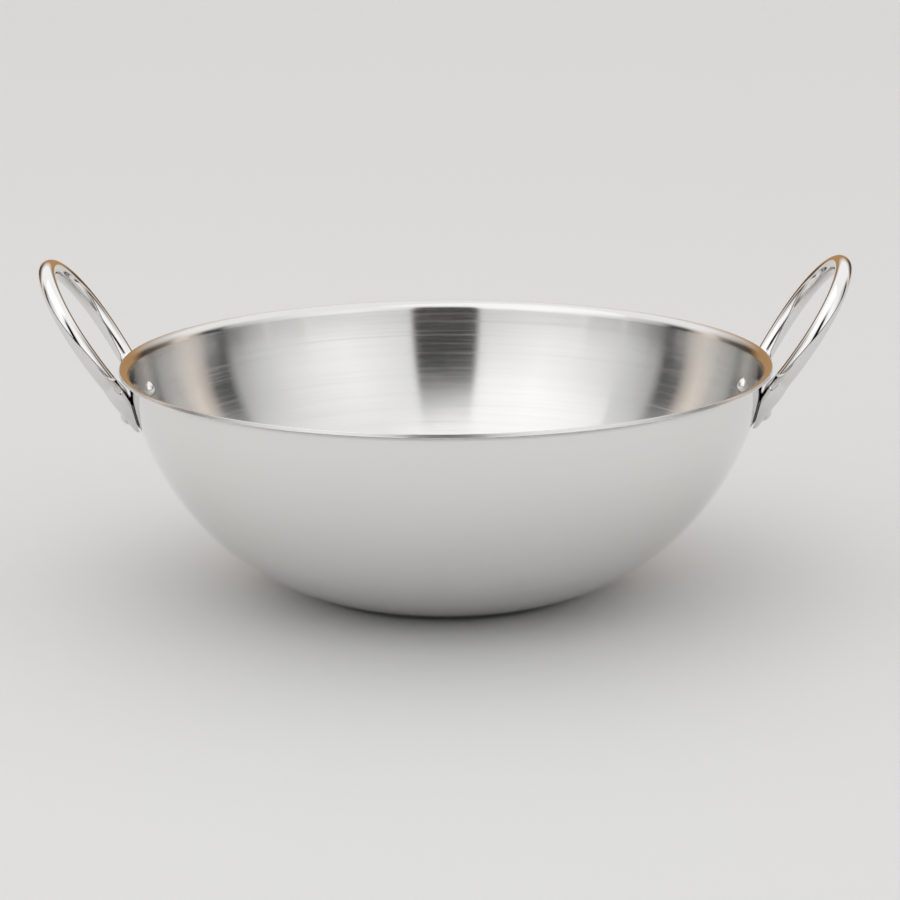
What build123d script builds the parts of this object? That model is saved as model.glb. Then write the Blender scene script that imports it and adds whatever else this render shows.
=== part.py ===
from build123d import *
import os
from math import atan2, cos, radians, sin

# A flat-based kadai: a deep round bowl of bonded three-layer sheet with a flared lip, and two upright
# loop handles of round rod. Each handle end is pressed into a foot that is shaped to the wall and held
# by one rivet. Lengths are in millimetres, angles in degrees, +Z is up, the origin is the centre of
# the base's underside and the handles stand on the X axis.

os.makedirs("parts", exist_ok=True)

# Bowl, measured on its outer face
rim_radius = 152.0
bowl_height = 108.5
base_flat_radius = 50.0
knuckle_radius = 40.0
knuckle_slope = 14.0
belly_slope = 45.5
wall_slope = 81.5
lip_slope = 15.0
lip_bend_radius = 3.2
lip_flat_length = 1.5

# Sheet layers, from the outside in
outer_skin_thickness = 0.4
core_thickness = 1.0
inner_skin_thickness = 0.4
lip_edge_round = 0.3

# Loop handles: the stand-off is from the rim to the rod's centre line, level with the rim, and the
# loop height runs in the handle's own plane, from that level to the top of the centre line.
rod_diameter = 8.0
handle_stand_off = 4.2
handle_tilt = 32.5
loop_height = 51.6
loop_top_radius = 35.5
loop_side_radius = 60.0
leg_slant = 20.0

# Feet: lengths along the leg, measured from the rivet
foot_width = 11.0
foot_thickness = 7.8
foot_above_rivet = 13.6
foot_below_rivet = 9.4
foot_shoulder_length = 5.0
foot_end_round = 4.5
foot_edge_round = 2.4

# Rivets: the leg distance runs from the end of the loop's side arc
rivet_leg_distance = 19.8
rivet_shank_diameter = 5.0
rivet_hole_clearance = 0.05
rivet_head_diameter = 7.5
rivet_head_height = 2.2
rivet_head_gap = 0.06
cut_overrun = 2.0

# Names and directions of the handles along X, and of each one's feet along Y
sides = {"left": -1, "right": 1}
ends = {"front": -1, "back": 1}
quarter_turn = 90.0

wall_thickness = outer_skin_thickness + core_thickness + inner_skin_thickness


def arc_gain(low_slope, high_slope):
    """Gain in radius and in height along a unit arc between two slopes, as positive numbers."""
    low, high = radians(low_slope), radians(high_slope)
    return sin(high) - sin(low), cos(low) - cos(high)


# The lip bends outwards, runs on straight and ends in a cut edge square to the sheet, so the rim radius
# is at the outer corner of that edge and the bowl's full height at the inner one.
lip_bend_r, lip_bend_z = arc_gain(lip_slope, wall_slope)
lip_flat_r = lip_flat_length * cos(radians(lip_slope))
lip_flat_z = lip_flat_length * sin(radians(lip_slope))
lip_edge_z = wall_thickness * cos(radians(lip_slope))
lip_root_radius = rim_radius - lip_bend_radius * lip_bend_r - lip_flat_r
lip_root_height = bowl_height - lip_edge_z - lip_bend_radius * lip_bend_z - lip_flat_z

# The belly and the wall are two tangent arcs between the knuckle and the root of the lip. Their radii
# are the pair that reaches the root both in radius and in height.
knuckle_gain_r, knuckle_gain_z = arc_gain(0, knuckle_slope)
belly_gain_r, belly_gain_z = arc_gain(knuckle_slope, belly_slope)
wall_gain_r, wall_gain_z = arc_gain(belly_slope, wall_slope)
reach_r = lip_root_radius - base_flat_radius - knuckle_radius * knuckle_gain_r
reach_z = lip_root_height - knuckle_radius * knuckle_gain_z
determinant = belly_gain_r * wall_gain_z - wall_gain_r * belly_gain_z
belly_radius = (reach_r * wall_gain_z - reach_z * wall_gain_r) / determinant
wall_radius = (reach_z * belly_gain_r - reach_r * belly_gain_z) / determinant


def next_centre(centre, radius, next_radius, slope):
    """Centre of the arc that carries on from another one at this slope, in radius and height."""
    step = radius - next_radius
    return centre[0] + step * sin(radians(slope)), centre[1] - step * cos(radians(slope))


knuckle_centre = (base_flat_radius, knuckle_radius)
belly_centre = next_centre(knuckle_centre, knuckle_radius, belly_radius, knuckle_slope)
wall_centre = next_centre(belly_centre, belly_radius, wall_radius, belly_slope)
lip_centre = next_centre(wall_centre, wall_radius, -lip_bend_radius, wall_slope)


def wall_line(depth):
    """Draws the bowl's profile this deep inside the outer face and returns its end at the lip."""
    convex_arcs = (
        (knuckle_centre, knuckle_radius, 0, knuckle_slope),
        (belly_centre, belly_radius, knuckle_slope, belly_slope),
        (wall_centre, wall_radius, belly_slope, wall_slope),
    )
    Line((0, depth), (base_flat_radius, depth))
    for centre, radius, low_slope, high_slope in convex_arcs:
        CenterArc(centre, radius - depth, low_slope - quarter_turn, high_slope - low_slope)
    bend = CenterArc(lip_centre, lip_bend_radius + depth, wall_slope + quarter_turn, lip_slope - wall_slope)
    flat = Line(bend @ 1, bend @ 1 + Vector(lip_flat_r, lip_flat_z))
    return flat @ 1


def layer_section(depth, thickness):
    """Half section of one sheet layer that starts this deep inside the outer face."""
    with BuildSketch(Plane.XZ, mode=Mode.PRIVATE) as section:
        with BuildLine():
            outer_end = wall_line(depth)
            inner_end = wall_line(depth + thickness)
            Line(outer_end, inner_end)
            Line((0, depth), (0, depth + thickness))
        make_face()
    return section.sketch


def bowl_section():
    """Half section of everything within the bowl's outer face, which the feet are shaped to."""
    with BuildSketch(Plane.XZ, mode=Mode.PRIVATE) as section:
        with BuildLine():
            lip_end = wall_line(0)
            Polyline((lip_end.X, lip_end.Y), (0, lip_end.Y), (0, 0))
        make_face()
    return section.sketch


def loop_plane(side):
    """Leaning plane of one handle's centre line: x lies along Y, y points up and z outwards."""
    lean = radians(handle_tilt)
    return Plane(
        origin=(side * (rim_radius + handle_stand_off), 0, bowl_height),
        x_dir=(0, side, 0),
        z_dir=(side * cos(lean), 0, -sin(lean)),
    )


# Lower end of the loop's side arc, in the loop plane
loop_centre = loop_height - loop_top_radius
leg_top_across = loop_top_radius + loop_side_radius * (cos(radians(leg_slant)) - 1)
leg_top_up = loop_centre - loop_side_radius * sin(radians(leg_slant))

# Where the foot starts, and the round rod above it ends, below the side arc
foot_top = rivet_leg_distance - foot_above_rivet
rod_end = foot_top - foot_shoulder_length


def leg_place(end, distance):
    """Point of a leg's centre line this far below the side arc, in the loop plane."""
    run = radians(leg_slant)
    return end * (leg_top_across - distance * sin(run)), leg_top_up - distance * cos(run)


def leg_section_plane(side, end, distance):
    """Plane square to a leg: x lies across it, y points outwards and z up the leg."""
    plane = loop_plane(side)
    run = radians(leg_slant)
    up_leg = plane.x_dir * (end * sin(run)) + plane.y_dir * cos(run)
    origin = plane.from_local_coords(leg_place(end, distance))
    return Plane(origin=origin, x_dir=plane.z_dir.cross(up_leg), z_dir=up_leg)


def loop_line(side):
    """Centre line of a handle's round rod, from one shoulder to the other."""
    with BuildLine(loop_plane(side), mode=Mode.PRIVATE) as path:
        CenterArc((0, loop_centre), loop_top_radius, 0, 2 * quarter_turn)
        for end in ends.values():
            side_centre = (end * (loop_top_radius - loop_side_radius), loop_centre)
            CenterArc(side_centre, loop_side_radius, quarter_turn * (1 - end), -end * leg_slant)
            Line(leg_place(end, 0), leg_place(end, rod_end))
    return path.line


def wall_contact(point, depth):
    """Nearest point of the wall this deep inside its outer face, and the wall's outward normal."""
    bearing = atan2(point.Y, point.X)
    centre = Vector(wall_centre[0] * cos(bearing), wall_centre[0] * sin(bearing), wall_centre[1])
    normal = (point - centre).normalized()
    return centre + normal * (wall_radius - depth), normal


def rivet_seats(side, end):
    """Seats of a rivet's two heads, each with its outward direction: on the foot, then in the bowl."""
    plane = loop_plane(side)
    on_leg = plane.from_local_coords(Vector(*leg_place(end, rivet_leg_distance)))
    inner_seat, wall_normal = wall_contact(on_leg, wall_thickness + rivet_head_gap)
    outer_seat = on_leg + plane.z_dir * (foot_thickness / 2)
    return (outer_seat, plane.z_dir), (inner_seat, wall_normal * -1)


def shank(side, end, clearance, overrun):
    """Straight rod between the seats of a rivet's heads, longer by the overrun at both ends."""
    (outer_seat, _), (inner_seat, _) = rivet_seats(side, end)
    axis = (outer_seat - inner_seat).normalized()
    with BuildPart(mode=Mode.PRIVATE) as rod:
        with BuildSketch(Plane(inner_seat - axis * overrun, z_dir=axis)):
            Circle(rivet_shank_diameter / 2 + clearance)
        extrude(amount=(outer_seat - inner_seat).length + 2 * overrun)
    return rod.part


def rivet_hole(side, end):
    """Hole for a rivet through a foot and the wall's layers."""
    return shank(side, end, rivet_hole_clearance, cut_overrun)


def dome(seat, direction):
    """Rivet head: a flat-bottomed dome on its seat."""
    head_radius = rivet_head_diameter / 2
    dome_radius = (head_radius**2 + rivet_head_height**2) / (2 * rivet_head_height)
    seat_plane = Plane(seat, z_dir=direction)
    with BuildPart(seat_plane, mode=Mode.PRIVATE) as head:
        with Locations((0, 0, rivet_head_height - dome_radius)):
            Sphere(dome_radius)
        split(bisect_by=seat_plane, keep=Keep.TOP)
    return head.part


def pressed_foot(side, end):
    """Flat foot at the end of a leg, before it is cut to the wall."""
    length = foot_above_rivet + foot_below_rivet
    top = leg_section_plane(side, end, foot_top)
    face_plane = Plane(origin=top.origin, x_dir=top.x_dir, z_dir=top.y_dir)
    up_leg = Axis(top.origin, top.z_dir)
    outwards = Axis(top.origin, top.y_dir)
    with BuildPart(mode=Mode.PRIVATE) as foot:
        with BuildSketch(face_plane):
            with Locations((0, length / 2)):
                Rectangle(foot_width, length)
            fillet(vertices().sort_by(Axis.Y)[-2:], foot_end_round)
        extrude(amount=foot_thickness / 2, both=True)
        for face_index in (0, -1):
            face = faces().sort_by(outwards)[face_index]
            fillet(face.edges().sort_by(up_leg)[:-1], foot_edge_round)
    return foot.part


all_holes = [rivet_hole(side, end) for side in sides.values() for end in ends.values()]

with BuildPart() as outer_skin:
    revolve(layer_section(0, outer_skin_thickness), axis=Axis.Z)
    cut_edge = faces().sort_by(Axis.Z)[-1]
    fillet(cut_edge.edges().filter_by(GeomType.CIRCLE).sort_by(Axis.Z)[0], lip_edge_round)
    add(all_holes, mode=Mode.SUBTRACT)
outer_skin.part.label = "outer_skin"
export_step(outer_skin.part, "parts/outer_skin.step")

with BuildPart() as core:
    revolve(layer_section(outer_skin_thickness, core_thickness), axis=Axis.Z)
    add(all_holes, mode=Mode.SUBTRACT)
core.part.label = "core"
export_step(core.part, "parts/core.step")

with BuildPart() as inner_skin:
    revolve(layer_section(outer_skin_thickness + core_thickness, inner_skin_thickness), axis=Axis.Z)
    cut_edge = faces().sort_by(Axis.Z)[-1]
    fillet(cut_edge.edges().filter_by(GeomType.CIRCLE).sort_by(Axis.Z)[-1], lip_edge_round)
    add(all_holes, mode=Mode.SUBTRACT)
inner_skin.part.label = "inner_skin"
export_step(inner_skin.part, "parts/inner_skin.step")

for side_name, side in sides.items():
    rod_line = loop_line(side)
    feet = [pressed_foot(side, end) for end in ends.values()]
    foot_holes = [rivet_hole(side, end) for end in ends.values()]
    with BuildPart() as handle:
        with BuildSketch(leg_section_plane(side, ends["back"], rod_end)):
            Circle(rod_diameter / 2)
        sweep(path=rod_line)
        for end in ends.values():
            with BuildSketch(leg_section_plane(side, end, rod_end)):
                Circle(rod_diameter / 2)
            with BuildSketch(leg_section_plane(side, end, foot_top)):
                RectangleRounded(foot_width, foot_thickness, foot_edge_round)
            loft()
        add(feet)
        revolve(bowl_section(), axis=Axis.Z, mode=Mode.SUBTRACT)
        add(foot_holes, mode=Mode.SUBTRACT)
    handle.part.label = f"handle_{side_name}"
    export_step(handle.part, f"parts/handle_{side_name}.step")

    for end_name, end in ends.items():
        heads = [dome(seat, direction) for seat, direction in rivet_seats(side, end)]
        body = shank(side, end, 0, 0)
        with BuildPart() as rivet:
            add(body)
            add(heads)
        rivet.part.label = f"rivet_{side_name}_{end_name}"
        export_step(rivet.part, f"parts/rivet_{side_name}_{end_name}.step")
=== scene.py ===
from math import acos, atan2, cos, pi, radians, sin

import bpy
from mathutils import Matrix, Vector


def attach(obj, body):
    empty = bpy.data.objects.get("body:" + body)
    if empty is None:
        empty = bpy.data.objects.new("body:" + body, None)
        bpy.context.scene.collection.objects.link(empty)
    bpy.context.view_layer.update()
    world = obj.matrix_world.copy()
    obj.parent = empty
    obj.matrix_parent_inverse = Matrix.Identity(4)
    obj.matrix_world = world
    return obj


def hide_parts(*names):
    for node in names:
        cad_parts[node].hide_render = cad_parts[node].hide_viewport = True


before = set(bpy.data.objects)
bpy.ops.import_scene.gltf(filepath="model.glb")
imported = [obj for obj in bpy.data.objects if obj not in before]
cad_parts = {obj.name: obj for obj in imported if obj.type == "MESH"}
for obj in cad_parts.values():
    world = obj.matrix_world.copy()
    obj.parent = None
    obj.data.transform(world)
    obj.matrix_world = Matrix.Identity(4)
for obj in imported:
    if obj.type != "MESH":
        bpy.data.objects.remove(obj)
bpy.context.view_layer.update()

bl_info = {
    "name": "Flat-based kadai",
    "version": (1, 0, 0),
    "blender": (4, 5, 0),
    "location": "3D View > Sidebar > Kadai",
    "description": "Layered steel cooking bowl with a flared lip and two riveted loop handles",
    "category": "Add Mesh",
}

quarter_turn = pi / 2
full_turn = 2 * pi
merge_distance = 1e-6
# Least part of a unit normal along an axis for a face to count as facing that way
facing = 0.5
# Angles between faces, in degrees, past which their edge stays crisp
wall_crease = 50
rod_crease = 32
rivet_crease = 35


def length(name, description, default):
    """Length property in metres."""
    return bpy.props.FloatProperty(
        name=name, description=description, default=default, unit="LENGTH", precision=5
    )


def angle(name, description, default):
    """Angle property, its default in degrees."""
    return bpy.props.FloatProperty(
        name=name, description=description, default=radians(default), subtype="ANGLE"
    )


def colour(name, description, default):
    """Linear colour property."""
    return bpy.props.FloatVectorProperty(
        name=name, description=description, default=default, subtype="COLOR", size=3, min=0, max=1
    )


def share(name, description, default):
    """Plain number between nothing and all."""
    return bpy.props.FloatProperty(
        name=name, description=description, default=default, min=0, max=1, subtype="FACTOR"
    )


def count(name, description, default):
    """Whole number of steps."""
    return bpy.props.IntProperty(name=name, description=description, default=default, min=3)


class KadaiBowl(bpy.types.PropertyGroup):
    """Sizes of the bowl, measured on its outer face, a hair inside the solids' box."""

    rim_radius: length("Rim Radius", "Radius of the lip's outer edge", 0.15198)
    height: length("Height", "Height of the lip's upper edge over the base", 0.10849)
    base_radius: length("Base Radius", "Radius of the flat base", 0.050)
    knuckle_radius: length("Knuckle Radius", "Radius of the bend round the base", 0.040)
    knuckle_slope: angle("Knuckle Slope", "Slope at which the belly starts", 14)
    belly_slope: angle("Belly Slope", "Slope at which the wall starts", 45.5)
    wall_slope: angle("Wall Slope", "Slope at which the lip starts", 81.5)
    lip_slope: angle("Lip Slope", "Slope of the lip's straight run", 15)
    lip_bend_radius: length("Lip Bend Radius", "Radius of the outward bend of the lip", 0.0032)
    lip_flat: length("Lip Flat", "Straight run of the lip after its bend", 0.0015)
    skin_thickness: length("Skin Thickness", "Thickness of each steel layer", 0.0004)
    core_thickness: length("Core Thickness", "Thickness of the aluminium layer", 0.001)
    edge_round: length("Edge Round", "Rounding of the lip's two corners", 0.0003)
    turn_steps: count("Turn Steps", "Steps around the bowl", 288)
    arc_steps: count("Arc Steps", "Steps along each arc of the profile", 14)
    edge_steps: count("Edge Steps", "Steps around each rounded corner of the lip", 5)


class KadaiHandles(bpy.types.PropertyGroup):
    """Sizes of the loop handles, their feet and their rivets."""

    rod_diameter: length("Rod Diameter", "Diameter of the round rod", 0.008)
    stand_off: length("Stand-off", "From the rim to the rod's centre line, level with it", 0.0042)
    tilt: angle("Tilt", "Outward lean of the loops from upright", 32.5)
    loop_height: length("Loop Height", "From the rim's level to the top of the centre line", 0.0516)
    top_radius: length("Top Radius", "Radius of the loop's top arc", 0.0355)
    side_radius: length("Side Radius", "Radius of the loop's side arcs", 0.060)
    leg_slant: angle("Leg Slant", "Slant of the legs in the loop's plane", 20)
    foot_width: length("Foot Width", "Width of a pressed foot", 0.011)
    foot_thickness: length("Foot Thickness", "Thickness of a foot before it is cut", 0.0078)
    foot_above_rivet: length("Foot Above Rivet", "From the rivet up to the foot's shoulder", 0.0136)
    foot_below_rivet: length("Foot Below Rivet", "From the rivet down to the foot's end", 0.0094)
    foot_shoulder: length("Foot Shoulder", "Length over which the rod turns into the foot", 0.005)
    foot_end_round: length("Foot End Round", "Rounding of the foot's end corners", 0.0045)
    foot_edge_round: length("Foot Edge Round", "Rounding along the foot's faces", 0.0024)
    seam_width: length("Seam Width", "Opening of the seam round a foot, at the wall", 0.0009)
    seam_depth: length("Seam Depth", "Depth of the seam under a foot's edge", 0.0018)
    pad_end_gap: length("Pad End Gap", "From a foot's end up to the end of its pad", 0.0006)
    rivet_distance: length("Rivet Distance", "From the loop's side arc down to the rivet", 0.0198)
    rivet_shank: length("Rivet Shank", "Diameter of a rivet's shank", 0.005)
    rivet_head: length("Rivet Head", "Diameter of a rivet's head", 0.0075)
    rivet_rise: length("Rivet Rise", "Height of a rivet's head", 0.0022)
    rivet_gap: length("Rivet Gap", "Gap between the inner head and the wall", 0.00006)
    rod_steps: count("Rod Steps", "Faces around the rod", 40)
    top_steps: count("Top Steps", "Steps along half of the top arc", 36)
    side_steps: count("Side Steps", "Steps along a side arc", 14)
    round_steps: count("Round Steps", "Steps around each rounding of a foot", 8)
    shoulder_steps: count("Shoulder Steps", "Cuts across each foot's shoulder", 5)
    head_steps: count("Head Steps", "Steps from a rivet head's top to its rim", 14)
    shank_steps: count("Shank Steps", "Steps around a rivet", 64)


class KadaiFinish(bpy.types.PropertyGroup):
    """Colours and polish of the metals."""

    steel: colour("Steel", "Polished steel of the outer face", (0.84, 0.835, 0.82))
    satin: colour("Satin", "Brushed steel of the inner face", (0.74, 0.735, 0.72))
    rod: colour("Rod", "Polished steel of the handles", (0.80, 0.79, 0.775))
    rivet: colour("Rivet", "Polished steel of the rivets", (0.78, 0.77, 0.755))
    core: colour("Core", "Bare aluminium of the middle layer", (0.76, 0.755, 0.745))
    steel_roughness: share("Steel Roughness", "Roughness of the outer face", 0.06)
    satin_roughness: share("Satin Roughness", "Roughness of the inner face", 0.12)
    rod_roughness: share("Rod Roughness", "Roughness of the handles", 0.05)
    rivet_roughness: share("Rivet Roughness", "Roughness of the rivets", 0.10)
    core_roughness: share("Core Roughness", "Roughness of the aluminium edge", 0.26)


class KadaiStage(bpy.types.PropertyGroup):
    """Floor, light and camera."""

    floor: colour("Floor", "Colour of the plain floor", (0.73, 0.73, 0.725))
    floor_roughness: share("Floor Roughness", "Roughness of the plain floor", 0.7)
    floor_size: length("Floor Size", "Side of the square floor", 16.0)
    camera_distance: length("Camera Distance", "Level distance from the bowl's axis", 1.19005)
    camera_height: length("Camera Height", "Height of the camera over the floor", 0.3564)
    camera_pitch: angle("Camera Pitch", "Camera's turn about X", 76.2246)
    camera_roll: angle("Camera Roll", "Camera's turn about Y", 0.3210)
    camera_yaw: angle("Camera Yaw", "Camera's turn about Z", -0.1604)
    lens: bpy.props.FloatProperty(
        name="Lens", description="Focal length in millimetres", default=104, min=1
    )
    sensor: bpy.props.FloatProperty(
        name="Sensor", description="Width of the camera's sensor in millimetres", default=36, min=1
    )
    lamp_place: bpy.props.FloatVectorProperty(
        name="Lamp Place",
        description="Centre of the soft lamp",
        default=(-0.6, -0.5, 1.7),
        unit="LENGTH",
    )
    lamp_size: length("Lamp Size", "Side of the square soft lamp", 2.0)
    lamp_power: bpy.props.FloatProperty(
        name="Lamp Power", description="Power of the soft lamp in watts", default=3.0, min=0
    )


# ---- working by hand, in code ----


def deselect_all():
    """Leaves edit mode and deselects every object."""
    if bpy.context.object and bpy.context.object.mode != "OBJECT":
        bpy.ops.object.mode_set(mode="OBJECT")
    bpy.ops.object.select_all(action="DESELECT")


def pick(*objects):
    """Selects only these objects and makes the first one active."""
    deselect_all()
    for obj in objects:
        obj.select_set(True)
    bpy.context.view_layer.objects.active = objects[0]


def edit(obj):
    """Opens one object for editing."""
    pick(obj)
    bpy.ops.object.mode_set(mode="EDIT")


def done():
    """Leaves edit mode."""
    bpy.ops.object.mode_set(mode="OBJECT")


def choose(obj, kind, test):
    """Selects the mesh elements of one kind that pass the test, and nothing else."""
    bpy.ops.mesh.select_mode(type={"vertices": "VERT", "edges": "EDGE", "polygons": "FACE"}[kind])
    bpy.ops.mesh.select_all(action="DESELECT")
    bpy.ops.object.mode_set(mode="OBJECT")
    chosen = [item for item in getattr(obj.data, kind) if test(item)]
    for item in chosen:
        item.select = True
    bpy.ops.object.mode_set(mode="EDIT")
    if not chosen:
        raise RuntimeError(f"nothing to choose on {obj.name}")


def apply_place(obj):
    """Writes an object's place, turn and scale into its mesh."""
    pick(obj)
    bpy.ops.object.transform_apply(location=True, rotation=True, scale=True)


def apply_modifier(obj, kind, **settings):
    """Adds a modifier with these settings and applies it."""
    pick(obj)
    bpy.ops.object.modifier_add(type=kind)
    modifier = obj.modifiers[-1]
    for name, value in settings.items():
        setattr(modifier, name, value)
    bpy.ops.object.modifier_apply(modifier=modifier.name)


def close_up(obj):
    """Merges what meets and turns every face outwards."""
    edit(obj)
    bpy.ops.mesh.select_all(action="SELECT")
    bpy.ops.mesh.remove_doubles(threshold=merge_distance)
    bpy.ops.mesh.normals_make_consistent(inside=False)
    done()


def smooth(obj, limit):
    """Smooth shading, with edges sharper than the limit kept crisp."""
    pick(obj)
    bpy.ops.object.shade_smooth_by_angle(angle=radians(limit), keep_sharp_edges=False)


def copy_of(obj, name):
    """Copy of a piece with its own mesh."""
    pick(obj)
    bpy.ops.object.duplicate(linked=False)
    twin = bpy.context.object
    twin.name = name
    twin.data.name = name
    return twin


def start_line(name, place):
    """New object in edit mode that holds one chosen vertex at a place."""
    deselect_all()
    bpy.ops.mesh.primitive_plane_add(size=1, location=(0, 0, 0))
    line = bpy.context.object
    line.name = name
    line.data.name = name
    bpy.ops.object.mode_set(mode="EDIT")
    bpy.ops.mesh.select_mode(type="VERT")
    bpy.ops.mesh.select_all(action="SELECT")
    bpy.ops.mesh.merge(type="CENTER")
    bpy.ops.transform.translate(value=place)
    return line


def draw_by(move):
    """Draws a straight stretch from the chosen vertex."""
    bpy.ops.mesh.extrude_region_move(TRANSFORM_OT_translate={"value": move})


def turn_profile(steps):
    """Turns the whole drawn profile about the Z axis into a closed surface."""
    bpy.ops.mesh.select_all(action="SELECT")
    bpy.ops.mesh.spin(steps=steps, angle=full_turn, center=(0, 0, 0), axis=(0, 0, 1))
    done()


# ---- bowl ----


def arc_gain(low, high):
    """Gain in radius and in height along a unit arc between two slopes."""
    return sin(high) - sin(low), cos(low) - cos(high)


def wall_thickness(bowl):
    """Thickness of the three layers together."""
    return 2 * bowl.skin_thickness + bowl.core_thickness


def lip_flat(bowl):
    """Straight run of the lip, from its bend to its edge."""
    return Vector((cos(bowl.lip_slope), 0, sin(bowl.lip_slope))) * bowl.lip_flat


def bowl_arcs(bowl):
    """Arcs of the outer face from the base to the lip: centre, radius and the two slopes."""
    lip_r, lip_z = arc_gain(bowl.lip_slope, bowl.wall_slope)
    edge_z = wall_thickness(bowl) * cos(bowl.lip_slope)
    flat = lip_flat(bowl)
    root_r = bowl.rim_radius - bowl.lip_bend_radius * lip_r - flat.x
    root_z = bowl.height - edge_z - bowl.lip_bend_radius * lip_z - flat.z
    knuckle_r, knuckle_z = arc_gain(0, bowl.knuckle_slope)
    belly_r, belly_z = arc_gain(bowl.knuckle_slope, bowl.belly_slope)
    wall_r, wall_z = arc_gain(bowl.belly_slope, bowl.wall_slope)
    reach_r = root_r - bowl.base_radius - bowl.knuckle_radius * knuckle_r
    reach_z = root_z - bowl.knuckle_radius * knuckle_z
    determinant = belly_r * wall_z - wall_r * belly_z
    belly_radius = (reach_r * wall_z - reach_z * wall_r) / determinant
    wall_radius = (reach_z * belly_r - reach_r * belly_z) / determinant

    # A negative radius is an arc that bends the other way.
    stretches = (
        (bowl.knuckle_radius, 0, bowl.knuckle_slope),
        (belly_radius, bowl.knuckle_slope, bowl.belly_slope),
        (wall_radius, bowl.belly_slope, bowl.wall_slope),
        (-bowl.lip_bend_radius, bowl.wall_slope, bowl.lip_slope),
    )
    arcs = []
    centre_r, centre_z, last_radius = bowl.base_radius, 0, 0
    for radius, low, high in stretches:
        step = last_radius - radius
        centre_r += step * sin(low)
        centre_z -= step * cos(low)
        arcs.append(((centre_r, centre_z), radius, low, high))
        last_radius = radius
    return arcs


def draw_outwards(bowl):
    """Draws the profile from the chosen vertex on the axis to the lip."""
    draw_by((bowl.base_radius, 0, 0))
    for (centre_r, centre_z), _, low, high in bowl_arcs(bowl):
        bpy.ops.mesh.spin(
            steps=bowl.arc_steps, angle=high - low, center=(centre_r, 0, centre_z), axis=(0, 1, 0)
        )
    draw_by(lip_flat(bowl))


def draw_inwards(bowl):
    """Draws the profile back from the lip to the axis."""
    draw_by(-lip_flat(bowl))
    for (centre_r, centre_z), _, low, high in reversed(bowl_arcs(bowl)):
        bpy.ops.mesh.spin(
            steps=bowl.arc_steps, angle=low - high, center=(centre_r, 0, centre_z), axis=(0, 1, 0)
        )
    draw_by((-bowl.base_radius, 0, 0))


def lip_corner(bowl, depth):
    """Place of the lip's edge this deep inside the outer face."""
    lip_arc = bowl_arcs(bowl)[-1]
    (centre_r, centre_z), radius, _, slope = lip_arc
    reach = depth - radius
    bend_end = Vector((centre_r - reach * sin(slope), 0, centre_z + reach * cos(slope)))
    return bend_end + lip_flat(bowl)


def sheet_layer(name, bowl, depth, thickness, rounded_depth):
    """One closed layer of the bowl's sheet, its lip corner at the rounded depth eased off."""
    layer = start_line(name, (0, 0, depth))
    draw_outwards(bowl)
    draw_by(lip_corner(bowl, depth + thickness) - lip_corner(bowl, depth))
    draw_inwards(bowl)
    if rounded_depth is not None:
        # Only the corner's own vertex lies within this reach of it.
        corner, reach = lip_corner(bowl, rounded_depth), bowl.edge_round / 8
        choose(layer, "vertices", lambda v: (v.co - corner).length < reach)
        bpy.ops.mesh.bevel(offset=bowl.edge_round, segments=bowl.edge_steps, affect="VERTICES")
    turn_profile(bowl.turn_steps)
    close_up(layer)
    return layer


def cut_to_wall(obj, bowl, clear):
    """Cuts a piece back to this clear distance from the bowl's outer face."""
    plug = start_line("bowl_plug", (0, 0, -clear))
    draw_outwards(bowl)
    draw_by((-lip_corner(bowl, -clear).x, 0, 0))
    turn_profile(bowl.turn_steps)
    close_up(plug)
    apply_modifier(obj, "BOOLEAN", operation="DIFFERENCE", solver="EXACT", object=plug)
    bpy.data.objects.remove(plug, do_unlink=True)


# ---- handles ----


def leg_place(handles, distance):
    """Point of a leg this far below the side arc, as across and up in the loop's plane."""
    centre_up = handles.loop_height - handles.top_radius
    across = handles.top_radius + handles.side_radius * (cos(handles.leg_slant) - 1)
    up = centre_up - handles.side_radius * sin(handles.leg_slant)
    return across - distance * sin(handles.leg_slant), up - distance * cos(handles.leg_slant)


def bent_rod(handles):
    """Half of the loop's rod in the YZ plane, from the top to the back foot's shoulder."""
    centre_up = handles.loop_height - handles.top_radius
    deselect_all()
    bpy.ops.mesh.primitive_circle_add(
        vertices=handles.rod_steps,
        radius=handles.rod_diameter / 2,
        location=(0, 0, handles.loop_height),
        rotation=(quarter_turn, 0, 0),
    )
    rod = bpy.context.object
    apply_place(rod)
    edit(rod)
    bpy.ops.mesh.select_all(action="SELECT")
    bpy.ops.mesh.spin(
        steps=handles.top_steps, angle=quarter_turn, center=(0, 0, centre_up), axis=(1, 0, 0)
    )
    side_across = handles.top_radius - handles.side_radius
    bpy.ops.mesh.spin(
        steps=handles.side_steps,
        angle=handles.leg_slant,
        center=(0, side_across, centre_up),
        axis=(1, 0, 0),
    )
    rod_end = handles.rivet_distance - handles.foot_above_rivet - handles.foot_shoulder
    start, end = leg_place(handles, 0), leg_place(handles, rod_end)
    draw_by((0, end[0] - start[0], end[1] - start[1]))
    done()
    return rod


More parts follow.
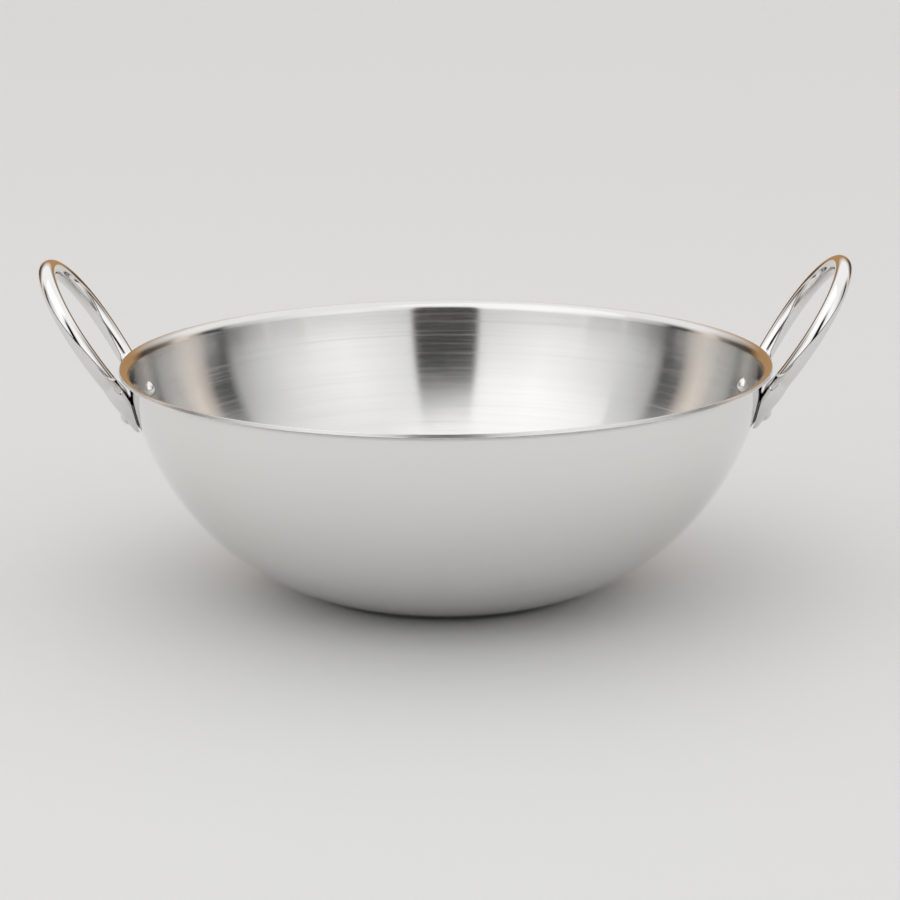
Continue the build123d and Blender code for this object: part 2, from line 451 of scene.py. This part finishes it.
def pressed_foot(handles):
    """Flat foot with rounded end and edges, open at its top, placed on the back leg."""
    foot_length = handles.foot_above_rivet + handles.foot_below_rivet
    deselect_all()
    bpy.ops.mesh.primitive_cube_add(size=1, location=(0, 0, 0))
    foot = bpy.context.object
    foot.scale = (handles.foot_thickness, handles.foot_width, foot_length)
    foot.location = (0, 0, -foot_length / 2)
    apply_place(foot)
    edit(foot)
    bpy.ops.mesh.select_all(action="SELECT")
    bpy.ops.mesh.subdivide(number_cuts=1)
    choose(foot, "polygons", lambda face: face.normal.z > facing)
    bpy.ops.mesh.delete(type="FACE")

    # The two corners of the foot's end, then all edges of its front and back faces
    half_width = handles.foot_width / 2
    half_thickness = handles.foot_thickness / 2

    def end_points(edge):
        return [foot.data.vertices[index].co for index in edge.vertices]

    def at_corner(edge):
        return all(
            abs(point.z + foot_length) < merge_distance
            and abs(abs(point.y) - half_width) < merge_distance
            for point in end_points(edge)
        )

    choose(foot, "edges", at_corner)
    bpy.ops.mesh.bevel(
        offset=handles.foot_end_round,
        segments=handles.round_steps,
        affect="EDGES",
        clamp_overlap=True,
    )

    def around_face(edge):
        one, other = end_points(edge)
        off_face = abs(abs(one.x) - half_thickness) > merge_distance
        if off_face or abs(one.x - other.x) > merge_distance:
            return False
        faces = [face for face in foot.data.polygons if edge.key in face.edge_keys]
        return len(faces) == 2 and any(abs(face.normal.x) < facing for face in faces)

    choose(foot, "edges", around_face)
    bpy.ops.mesh.bevel(
        offset=handles.foot_edge_round,
        segments=handles.round_steps,
        affect="EDGES",
        clamp_overlap=True,
    )
    done()
    place_on_leg(foot, handles)
    return foot


def place_on_leg(foot, handles):
    """Puts a foot that hangs from the origin on the back leg, its top at the foot's shoulder."""
    foot.rotation_euler = (-handles.leg_slant, 0, 0)
    foot.location = (0, *leg_place(handles, handles.rivet_distance - handles.foot_above_rivet))
    apply_place(foot)


def foot_pad(handles):
    """Narrower pad by which a foot bears on the wall, on the back leg."""
    depth = handles.seam_depth
    pad_length = handles.foot_above_rivet + handles.foot_below_rivet - handles.pad_end_gap
    deselect_all()
    bpy.ops.mesh.primitive_cube_add(size=1, location=(0, 0, 0))
    pad = bpy.context.object
    pad.scale = (handles.foot_thickness - 2 * depth, handles.foot_width - 2 * depth, pad_length)
    pad.location = (-depth / 2, 0, -pad_length / 2)
    apply_place(pad)
    edit(pad)

    def at_end(edge):
        return all(pad.data.vertices[i].co.z < -pad_length / 2 for i in edge.vertices)

    choose(pad, "edges", at_end)
    bpy.ops.mesh.bevel(
        offset=depth, segments=handles.round_steps, affect="EDGES", clamp_overlap=True
    )
    done()
    place_on_leg(pad, handles)
    return pad


def stand_up(obj, bowl, handles):
    """Mirrors half a handle to both legs and leans it at its place beside the rim."""
    apply_modifier(
        obj,
        "MIRROR",
        use_axis=(False, True, False),
        use_mirror_merge=True,
        merge_threshold=merge_distance,
    )
    obj.rotation_euler = (0, handles.tilt, 0)
    obj.location = (bowl.rim_radius + handles.stand_off, 0, bowl.height)
    apply_place(obj)
    close_up(obj)


def loop_handle(name, bowl, handles):
    """The right handle: rod, shoulders and feet in one body, cut to the bowl's wall."""
    rod = bent_rod(handles)
    foot = pressed_foot(handles)
    pick(rod, foot)
    bpy.ops.object.join()
    rod.name = name
    rod.data.name = name
    edit(rod)
    faces_on = {}
    for face in rod.data.polygons:
        for key in face.edge_keys:
            faces_on[key] = faces_on.get(key, 0) + 1

    # The rod's and the foot's open ends, and not the one in the mirror plane
    def open_edge(edge):
        beside_mirror = rod.data.vertices[edge.vertices[0]].co.y > merge_distance
        return faces_on.get(edge.key, 0) == 1 and beside_mirror

    choose(rod, "edges", open_edge)
    bpy.ops.mesh.bridge_edge_loops(
        type="SINGLE", number_cuts=handles.shoulder_steps, interpolation="LINEAR"
    )
    done()
    stand_up(rod, bowl, handles)
    cut_to_wall(rod, bowl, handles.seam_width)

    # The pads fill the feet's middle, and leave the dark seam round each foot.
    pads = foot_pad(handles)
    stand_up(pads, bowl, handles)
    cut_to_wall(pads, bowl, 0)
    apply_modifier(rod, "BOOLEAN", operation="UNION", solver="EXACT", object=pads)
    bpy.data.objects.remove(pads, do_unlink=True)
    close_up(rod)
    smooth(rod, rod_crease)
    return rod


# ---- rivets ----


def loop_axes(handles, side):
    """Directions square to a handle's plane, outwards, and up along it."""
    outwards = Vector((side * cos(handles.tilt), 0, -sin(handles.tilt)))
    upwards = Vector((side * sin(handles.tilt), 0, cos(handles.tilt)))
    return outwards, upwards


def rivet_seats(bowl, handles, side, end):
    """Seats of a rivet's heads on the foot and in the bowl, each with its direction."""
    outwards, upwards = loop_axes(handles, side)
    across, up = leg_place(handles, handles.rivet_distance)
    origin = Vector((side * (bowl.rim_radius + handles.stand_off), 0, bowl.height))
    on_leg = origin + Vector((0, end * across, 0)) + upwards * up
    _, _, wall_arc, _ = bowl_arcs(bowl)
    (centre_r, centre_z), wall_radius, _, _ = wall_arc
    bearing = atan2(on_leg.y, on_leg.x)
    centre = Vector((centre_r * cos(bearing), centre_r * sin(bearing), centre_z))
    normal = (on_leg - centre).normalized()
    inner_seat = centre + normal * (wall_radius - wall_thickness(bowl) - handles.rivet_gap)
    outer_seat = on_leg + outwards * (handles.foot_thickness / 2)
    return (outer_seat, outwards), (inner_seat, -normal)


def rivet_head(handles, reach):
    """Domed head on its seat at the origin, facing +Z, with its half of the shank below."""
    head_radius = handles.rivet_head / 2
    dome_radius = (head_radius**2 + handles.rivet_rise**2) / (2 * handles.rivet_rise)
    opening = acos((dome_radius - handles.rivet_rise) / dome_radius)
    head = start_line("rivet_head", (0, 0, handles.rivet_rise))
    bpy.ops.mesh.spin(
        steps=handles.head_steps,
        angle=-opening,
        center=(0, 0, handles.rivet_rise - dome_radius),
        axis=(0, 1, 0),
    )
    draw_by((handles.rivet_shank / 2 - head_radius, 0, 0))
    draw_by((0, 0, -reach))
    draw_by((-handles.rivet_shank / 2, 0, 0))
    turn_profile(handles.shank_steps)
    close_up(head)
    return head


def place_on(obj, seat, direction):
    """Stands a piece that faces +Z on a seat, facing the direction."""
    obj.rotation_euler = direction.to_track_quat("Z", "Y").to_euler()
    obj.location = seat
    apply_place(obj)


# ---- finishes ----


def new_group(name, inputs, outputs):
    """Empty shader node group with float inputs and outputs."""
    group = bpy.data.node_groups.new(name, "ShaderNodeTree")
    for label, value in inputs:
        socket = group.interface.new_socket(
            name=label, in_out="INPUT", socket_type="NodeSocketFloat"
        )
        socket.default_value = value
    for label in outputs:
        group.interface.new_socket(name=label, in_out="OUTPUT", socket_type="NodeSocketFloat")
    return group, group.nodes.new("NodeGroupInput"), group.nodes.new("NodeGroupOutput")


def put(tree, kind, inputs=(), **settings):
    """Adds a node, sets its settings and fills its inputs with values or links."""
    node = tree.nodes.new(kind)
    for name, value in settings.items():
        setattr(node, name, value)
    for key, value in dict(inputs).items():
        if isinstance(value, bpy.types.NodeSocket):
            tree.links.new(value, node.inputs[key])
        else:
            node.inputs[key].default_value = value
    return node


def maths(tree, operation, *values):
    """Adds a Math node and returns its result."""
    return put(tree, "ShaderNodeMath", enumerate(values), operation=operation).outputs[0]


def spread(tree, value, span, low=0.0, high=1.0):
    """Maps a span of values to low up to high, held at the ends."""
    mapped = put(
        tree,
        "ShaderNodeMapRange",
        {"Value": value, "From Min": span[0], "From Max": span[1], "To Min": low, "To Max": high},
        clamp=True,
    )
    return mapped.outputs["Result"]


# Each kind of turned line, with its share of the lines and its share of the breaks in them
line_kinds = (("Fine", 1.0, 1.0), ("Coarse", 0.70, 0.12))
line_noise = {"Scale": 1.0, "Roughness": 0.6}
# Radius inside which the lines stop drawing together
least_radius = 0.0005


def turned_lines_group():
    """Fine lines that run round the Z axis, as turning and brushing leave them."""
    group, inputs, output = new_group(
        "Turned lines", (("Lines", 900.0), ("Breaks", 6.0), ("Detail", 3.0)), ("Fine", "Coarse")
    )
    place = put(group, "ShaderNodeTexCoord").outputs["Object"]
    parts = put(group, "ShaderNodeSeparateXYZ", {0: place})
    level = put(group, "ShaderNodeCombineXYZ", {0: parts.outputs[0], 1: parts.outputs[1]})
    reach = put(group, "ShaderNodeVectorMath", {0: level.outputs[0]}, operation="LENGTH")
    radius = maths(group, "MAXIMUM", reach.outputs["Value"], least_radius)
    for label, share_of_lines, share_of_breaks in line_kinds:
        lines = maths(group, "MULTIPLY", inputs.outputs["Lines"], share_of_lines)
        round_breaks = maths(group, "MULTIPLY", inputs.outputs["Breaks"], share_of_breaks)
        breaks = maths(group, "DIVIDE", round_breaks, radius)
        around = [maths(group, "MULTIPLY", parts.outputs[axis], breaks) for axis in (0, 1)]
        vector = put(
            group,
            "ShaderNodeCombineXYZ",
            {0: around[0], 1: around[1], 2: maths(group, "MULTIPLY", radius, lines)},
        ).outputs[0]
        noise = put(
            group,
            "ShaderNodeTexNoise",
            {
                "Vector": vector,
                "W": maths(group, "MULTIPLY", parts.outputs[2], lines),
                "Detail": inputs.outputs["Detail"],
                **line_noise,
            },
            noise_dimensions="4D",
        )
        group.links.new(noise.outputs[0], output.inputs[label])
    return group


smudge_noise = {"Detail": 5.0, "Roughness": 0.62}
smudge_span = (0.42, 0.72)
scratch_noise = {"Detail": 2.0, "Roughness": 0.5}
scratch_span = (0.70, 0.78)
# Two sets of hairlines, each turned its own way and drawn out along its Y axis
scratch_turns = ((0.3, 0.9, 0.2), (1.1, -0.4, 0.8))
scratch_stretch = (1.0, 22.0, 1.0)
scratch_fineness = 20.0


def handling_group():
    """Soft smudges and sparse hairline scratches from use and wiping."""
    group, inputs, output = new_group(
        "Handling marks", (("Smudge Size", 18.0), ("Scratch Size", 60.0)), ("Smudge", "Scratch")
    )
    place = put(group, "ShaderNodeTexCoord").outputs["Object"]
    smudge = put(
        group,
        "ShaderNodeTexNoise",
        {"Vector": place, "Scale": inputs.outputs["Smudge Size"], **smudge_noise},
    )
    group.links.new(spread(group, smudge.outputs[0], smudge_span), output.inputs["Smudge"])
    found = []
    for turn in scratch_turns:
        laid = put(
            group,
            "ShaderNodeMapping",
            {"Vector": place, "Rotation": turn, "Scale": scratch_stretch},
            vector_type="TEXTURE",
        )
        fineness = maths(group, "MULTIPLY", inputs.outputs["Scratch Size"], scratch_fineness)
        hair = put(
            group,
            "ShaderNodeTexNoise",
            {"Vector": laid.outputs[0], "Scale": fineness, **scratch_noise},
        )
        found.append(spread(group, hair.outputs[0], scratch_span))
    group.links.new(maths(group, "MAXIMUM", *found), output.inputs["Scratch"])
    return group


def new_material(name):
    """Empty material with a Principled shader."""
    material = bpy.data.materials.new(name)
    material.use_nodes = True
    tree = material.node_tree
    shader = tree.nodes["Principled BSDF"]
    shader.inputs["Metallic"].default_value = 1.0
    return material, tree, shader


def placed(tree, group, **values):
    """Places a node group in a material with its own values."""
    node = put(tree, "ShaderNodeGroup")
    node.node_tree = group
    for label, value in values.items():
        node.inputs[label].default_value = value
    return node


def tint(tree, base, mask, strength):
    """Base colour, darker by a share of the mask."""
    kept = maths(tree, "SUBTRACT", 1.0, maths(tree, "MULTIPLY", mask, strength))
    return put(
        tree, "ShaderNodeVectorMath", {0: (*base,), 1: kept}, operation="MULTIPLY"
    ).outputs[0]


# Painted shade in crevices: how far it reaches, how open a crevice is from darkest to unshaded, the
# darkest tone
crevice_shade_reach = 0.0035
crevice_shade_span = (0.20, 0.62)
crevice_shade_tone = 0.03
crevice_shade_samples = 12
# What the marks add to the roughness, and take from the tone, for each unit of their strength
fine_roughness = 0.30
coarse_roughness = 0.35
coarse_span = (0.5, 0.8)
smudge_roughness = 0.12
scratch_roughness = 0.20
coarse_tone = 0.25
# Heights of the marks, in heights of a fine line
coarse_height = 2.0
scratch_height = -0.6
# The slow swell of a polished face
swell_noise = {"Scale": 9.0, "Detail": 1.0}
# Turn of the blur, as a share of a full turn, for lines that run round the Z axis
brushed_turn = 0.25


def metal(name, base, roughness, groups, lines, breaks, marks, relief, aniso=0.0, wave=0.0):
    """Metal with turned lines, smudges and hairlines, as strong as marks and as deep as relief, and
    painted shade that darkens its base colour in crevices.
    """
    material, tree, shader = new_material(name)
    turned = placed(tree, groups["turned"], Lines=lines, Breaks=breaks)
    handled = placed(tree, groups["handling"])
    fine, coarse = turned.outputs["Fine"], turned.outputs["Coarse"]
    smudge, scratch = handled.outputs["Smudge"], handled.outputs["Scratch"]
    toned = tint(tree, base, coarse, marks * coarse_tone)
    # Painted shade: the base colour darkens towards the darkest tone where ambient occlusion finds
    # a crevice.
    crevice_occlusion = put(
        tree, "ShaderNodeAmbientOcclusion", {"Distance": crevice_shade_reach}, samples=crevice_shade_samples
    )
    painted_shade_factor = spread(tree, crevice_occlusion.outputs["AO"], crevice_shade_span, crevice_shade_tone)
    toned = put(tree, "ShaderNodeVectorMath", {0: toned, 1: painted_shade_factor}, operation="MULTIPLY").outputs[0]
    tree.links.new(toned, shader.inputs["Base Color"])
    rough = maths(tree, "MULTIPLY_ADD", fine, marks * fine_roughness, roughness)
    deepest = spread(tree, coarse, coarse_span)
    rough = maths(tree, "MULTIPLY_ADD", deepest, marks * coarse_roughness, rough)
    rough = maths(tree, "MULTIPLY_ADD", smudge, marks * smudge_roughness, rough)
    rough = maths(tree, "MULTIPLY_ADD", scratch, marks * scratch_roughness, rough)
    tree.links.new(rough, shader.inputs["Roughness"])
    height = maths(tree, "MULTIPLY_ADD", coarse, coarse_height, fine)
    height = maths(tree, "MULTIPLY_ADD", scratch, scratch_height, height)
    bump = put(tree, "ShaderNodeBump", {"Height": height, "Distance": relief, "Strength": 1.0})
    if wave:
        place = put(tree, "ShaderNodeTexCoord").outputs["Object"]
        swell = put(tree, "ShaderNodeTexNoise", {"Vector": place, **swell_noise})
        swell_bump = put(
            tree, "ShaderNodeBump", {"Height": swell.outputs[0], "Distance": wave, "Strength": 1.0}
        )
        tree.links.new(swell_bump.outputs[0], bump.inputs["Normal"])
    tree.links.new(bump.outputs[0], shader.inputs["Normal"])
    if aniso:
        shader.inputs["Anisotropic"].default_value = aniso
        shader.inputs["Anisotropic Rotation"].default_value = brushed_turn
        tangent = put(tree, "ShaderNodeTangent", direction_type="RADIAL", axis="Z")
        tree.links.new(tangent.outputs[0], shader.inputs["Tangent"])
    return material


# Each metal's name, the start of its settings' names, and how it is turned, marked and brushed
metals = {
    "Polished steel": ("steel", dict(lines=700, breaks=4, marks=0.08, relief=2e-7, wave=4e-5)),
    "Satin steel": ("satin", dict(lines=900, breaks=7, marks=0.25, relief=2e-6, aniso=0.97)),
    "Aluminium edge": ("core", dict(lines=1500, breaks=10, marks=0.20, relief=5e-7)),
    "Polished rod": ("rod", dict(lines=500, breaks=5, marks=0.08, relief=1e-7, wave=1e-5)),
    "Rivet steel": ("rivet", dict(lines=500, breaks=5, marks=0.12, relief=2e-7)),
}


def finishes():
    """All metals of the kadai, made once."""
    if "Polished steel" in bpy.data.materials:
        return bpy.data.materials
    look = bpy.context.scene.kadai_finish
    groups = {"turned": turned_lines_group(), "handling": handling_group()}
    for name, (part, finish) in metals.items():
        base, roughness = getattr(look, part), getattr(look, f"{part}_roughness")
        metal(name, base, roughness, groups, **finish)
    return bpy.data.materials


def finish_piece(obj, material, slot, *nodes):
    """Gives a piece its metal, its body and the solids that it stands for; the slot is not used."""
    obj.data.materials.clear()
    obj.data.materials.append(finishes()[material])
    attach(obj, "root")
    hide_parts(*nodes)


# ---- stage ----

# The studio's light level and warmth by bearing, from the camera's side (0) to behind the bowl (1):
# pale screens with dark gaps between them, and a low warm wall at the back.
screens = (
    (0.000, 0.01, 0.0),
    (0.068, 0.01, 0.0),
    (0.077, 0.98, 0.0),
    (0.225, 1.22, 0.0),
    (0.300, 1.14, 0.0),
    (0.360, 1.00, 0.0),
    (0.440, 0.72, 0.0),
    (0.488, 0.52, 0.0),
    (0.517, 0.05, 0.0),
    (0.565, 0.05, 0.0),
    (0.592, 0.45, 0.3),
    (0.630, 0.82, 0.3),
    (0.665, 0.74, 0.3),
    (0.695, 0.26, 0.5),
    (0.740, 0.10, 0.6),
    (0.830, 0.06, 0.7),
    (0.900, 0.33, 1.1),
    (1.000, 0.33, 1.1),
)
# What each unit of warmth adds to a screen's red, green and blue
warm_tone = (0.40, -0.14, -0.55)
# Bearings over which the side screens start to lean back, and how far they lean
lean_span = (0.3, 0.5)
lean_most = 0.10
# The dark strip between the floor and the front screens: its top, its end and its level
strip_top = (0.07, 0.12)
strip_end = (0.50, 0.58)
strip_level = 0.08
# The ceiling: where it starts overhead, and how far it comes down from front to back
ceiling_level = 1.08
ceiling_start = (0.56, 0.84)
ceiling_fall = (-0.2, 0.4)
ceiling_drop = 0.26
# The plain backdrop that continues the floor, and the rise at which the screens start over it
backdrop_level = 0.78
screen_foot = 0.01


def grey(level):
    """Grey of this level."""
    return (level, level, level, 1)


def mix_colours(tree, factor, first, second):
    """Mixes two colours, by their sockets in the Mix node's colour mode."""
    mixed = put(tree, "ShaderNodeMix", {0: factor, 6: first, 7: second}, data_type="RGBA")
    return mixed.outputs[2]


def studio_world(scene):
    """World of pale screens and a ceiling over a plain backdrop, which is all the camera sees."""
    world = bpy.data.worlds.new("Studio")
    scene.world = world
    world.use_nodes = True
    tree = world.node_tree
    place = put(tree, "ShaderNodeTexCoord").outputs["Generated"]
    parts = put(tree, "ShaderNodeSeparateXYZ", {0: place})
    towards = maths(tree, "MULTIPLY", parts.outputs[1], -1.0)
    bearing = maths(tree, "ABSOLUTE", maths(tree, "ARCTAN2", parts.outputs[0], towards))
    bearing = maths(tree, "DIVIDE", bearing, pi)
    rise = maths(tree, "MAXIMUM", parts.outputs[2], 0.0)

    # The side screens lean back, and the ceiling comes down lower behind the bowl.
    lean = maths(tree, "MULTIPLY", rise, spread(tree, bearing, lean_span, 0.0, lean_most))
    around = put(tree, "ShaderNodeValToRGB", {0: maths(tree, "SUBTRACT", bearing, lean)})
    ramp = around.color_ramp
    # Each new stop gets its own place right after.
    while len(ramp.elements) < len(screens):
        ramp.elements.new(0.5)
    for element, (position, level, warmth) in zip(ramp.elements, screens):
        element.position = position
        element.color = (*(level * (1 + added * warmth) for added in warm_tone), 1)

    # A dark strip stands between the floor and the front screens.
    over_strip = spread(tree, parts.outputs[2], strip_top, strip_level)
    beside_strip = spread(tree, bearing, strip_end)
    lit = maths(tree, "MAXIMUM", over_strip, beside_strip)
    screened = put(
        tree, "ShaderNodeVectorMath", {0: around.outputs[0], 1: lit}, operation="MULTIPLY"
    )
    drop = spread(tree, parts.outputs[1], ceiling_fall, 0.0, ceiling_drop)
    high = spread(tree, maths(tree, "ADD", rise, drop), ceiling_start)
    sky = mix_colours(tree, high, screened.outputs[0], grey(ceiling_level))

    # Metal and glass mirror the backdrop below the screens.
    path = put(tree, "ShaderNodeLightPath").outputs
    mirrored = maths(tree, "MAXIMUM", path["Is Glossy Ray"], path["Is Transmission Ray"])
    under_screens = maths(tree, "LESS_THAN", parts.outputs[2], screen_foot)
    mirrored = maths(tree, "MULTIPLY", mirrored, under_screens)
    seen = maths(tree, "MAXIMUM", path["Is Camera Ray"], mirrored)
    shown = mix_colours(tree, seen, sky, grey(backdrop_level))
    tree.links.new(shown, tree.nodes["Background"].inputs["Color"])


# ---- operators ----


class KADAI_OT_bowl(bpy.types.Operator):
    """Add the bowl's three bonded layers"""

    bl_idname = "kadai.bowl"
    bl_label = "Bowl"

    def execute(self, context):
        bowl = context.scene.kadai_bowl
        skin, core = bowl.skin_thickness, bowl.core_thickness
        whole = wall_thickness(bowl)
        outer = sheet_layer("outer_wall", bowl, 0, skin, 0)
        smooth(outer, wall_crease)
        finish_piece(outer, "Polished steel", "polished_steel", "outer_skin")
        middle = sheet_layer("core_sheet", bowl, skin, core, None)
        smooth(middle, wall_crease)
        finish_piece(middle, "Aluminium edge", "core_aluminium", "core")
        inner = sheet_layer("inner_wall", bowl, skin + core, skin, whole)
        smooth(inner, wall_crease)
        finish_piece(inner, "Satin steel", "satin_steel", "inner_skin")
        return {"FINISHED"}


class KADAI_OT_handles(bpy.types.Operator):
    """Add the two loop handles, cut to the wall"""

    bl_idname = "kadai.handles"
    bl_label = "Handles"

    def execute(self, context):
        scene = context.scene
        right = loop_handle("loop_right", scene.kadai_bowl, scene.kadai_handles)
        left = copy_of(right, "loop_left")
        left.rotation_euler = (0, 0, pi)
        apply_place(left)
        finish_piece(right, "Polished rod", "polished_rod", "handle_right")
        finish_piece(left, "Polished rod", "polished_rod", "handle_left")
        return {"FINISHED"}


class KADAI_OT_rivets(bpy.types.Operator):
    """Add the four rivets"""

    bl_idname = "kadai.rivets"
    bl_label = "Rivets"

    def execute(self, context):
        bowl, handles = context.scene.kadai_bowl, context.scene.kadai_handles
        for side_name, side in (("left", -1), ("right", 1)):
            for end_name, end in (("front", -1), ("back", 1)):
                seats = rivet_seats(bowl, handles, side, end)
                span = (seats[0][0] - seats[1][0]).length
                heads = []
                for seat, direction in seats:
                    head = rivet_head(handles, span / 2)
                    place_on(head, seat, direction)
                    heads.append(head)
                pick(*heads)
                bpy.ops.object.join()
                rivet = bpy.context.object
                rivet.name = f"stud_{side_name}_{end_name}"
                rivet.data.name = rivet.name
                smooth(rivet, rivet_crease)
                finish_piece(rivet, "Rivet steel", "rivet_steel", f"rivet_{side_name}_{end_name}")
        return {"FINISHED"}


class KADAI_OT_stage(bpy.types.Operator):
    """Add the floor, the soft light and the camera"""

    bl_idname = "kadai.stage"
    bl_label = "Stage"

    def execute(self, context):
        scene = context.scene
        stage = scene.kadai_stage
        deselect_all()
        bpy.ops.mesh.primitive_plane_add(size=stage.floor_size, location=(0, 0, 0))
        floor = bpy.context.object
        floor.name = "floor"
        material = bpy.data.materials.new("Pale floor")
        material.use_nodes = True
        tree = material.node_tree
        shader = tree.nodes["Principled BSDF"]
        shader.inputs["Roughness"].default_value = stage.floor_roughness
        shader.inputs["Base Color"].default_value = (*stage.floor, 1)
        floor.data.materials.append(material)

        studio_world(scene)
        deselect_all()
        bpy.ops.object.light_add(type="AREA", location=stage.lamp_place)
        lamp = bpy.context.object
        lamp.name = "soft_lamp"
        lamp.data.size = stage.lamp_size
        lamp.data.energy = stage.lamp_power
        lamp.rotation_euler = Vector(stage.lamp_place).to_track_quat("Z", "Y").to_euler()

        deselect_all()
        bpy.ops.object.camera_add(
            location=(0, -stage.camera_distance, stage.camera_height),
            rotation=(stage.camera_pitch, stage.camera_roll, stage.camera_yaw),
        )
        camera = bpy.context.object
        camera.data.lens = stage.lens
        camera.data.sensor_width = stage.sensor
        scene.camera = camera
        scene.view_settings.view_transform = "Standard"
        return {"FINISHED"}


class KADAI_PT_sidebar(bpy.types.Panel):
    """The kadai's pieces and settings"""

    bl_idname = "KADAI_PT_sidebar"
    bl_label = "Kadai"
    bl_space_type = "VIEW_3D"
    bl_region_type = "UI"
    bl_category = "Kadai"

    def draw(self, context):
        for operator in operators:
            self.layout.operator(operator.bl_idname)
        for name in settings:
            box = self.layout.box()
            group = getattr(context.scene, name)
            for prop in group.__annotations__:
                box.prop(group, prop)


settings = {
    "kadai_bowl": KadaiBowl,
    "kadai_handles": KadaiHandles,
    "kadai_finish": KadaiFinish,
    "kadai_stage": KadaiStage,
}
operators = (KADAI_OT_bowl, KADAI_OT_handles, KADAI_OT_rivets, KADAI_OT_stage)


def register():
    """Registers the settings, the operators and the panel."""
    for name, group in settings.items():
        bpy.utils.register_class(group)
        setattr(bpy.types.Scene, name, bpy.props.PointerProperty(type=group))
    for operator in operators:
        bpy.utils.register_class(operator)
    bpy.utils.register_class(KADAI_PT_sidebar)


def unregister():
    """Takes them out again."""
    bpy.utils.unregister_class(KADAI_PT_sidebar)
    for operator in reversed(operators):
        bpy.utils.unregister_class(operator)
    for name, group in reversed(settings.items()):
        delattr(bpy.types.Scene, name)
        bpy.utils.unregister_class(group)


def main():
    """Makes every piece and the stage."""
    register()
    bpy.ops.kadai.bowl()
    bpy.ops.kadai.handles()
    bpy.ops.kadai.rivets()
    bpy.ops.kadai.stage()


if __name__ == "__main__":
    main()
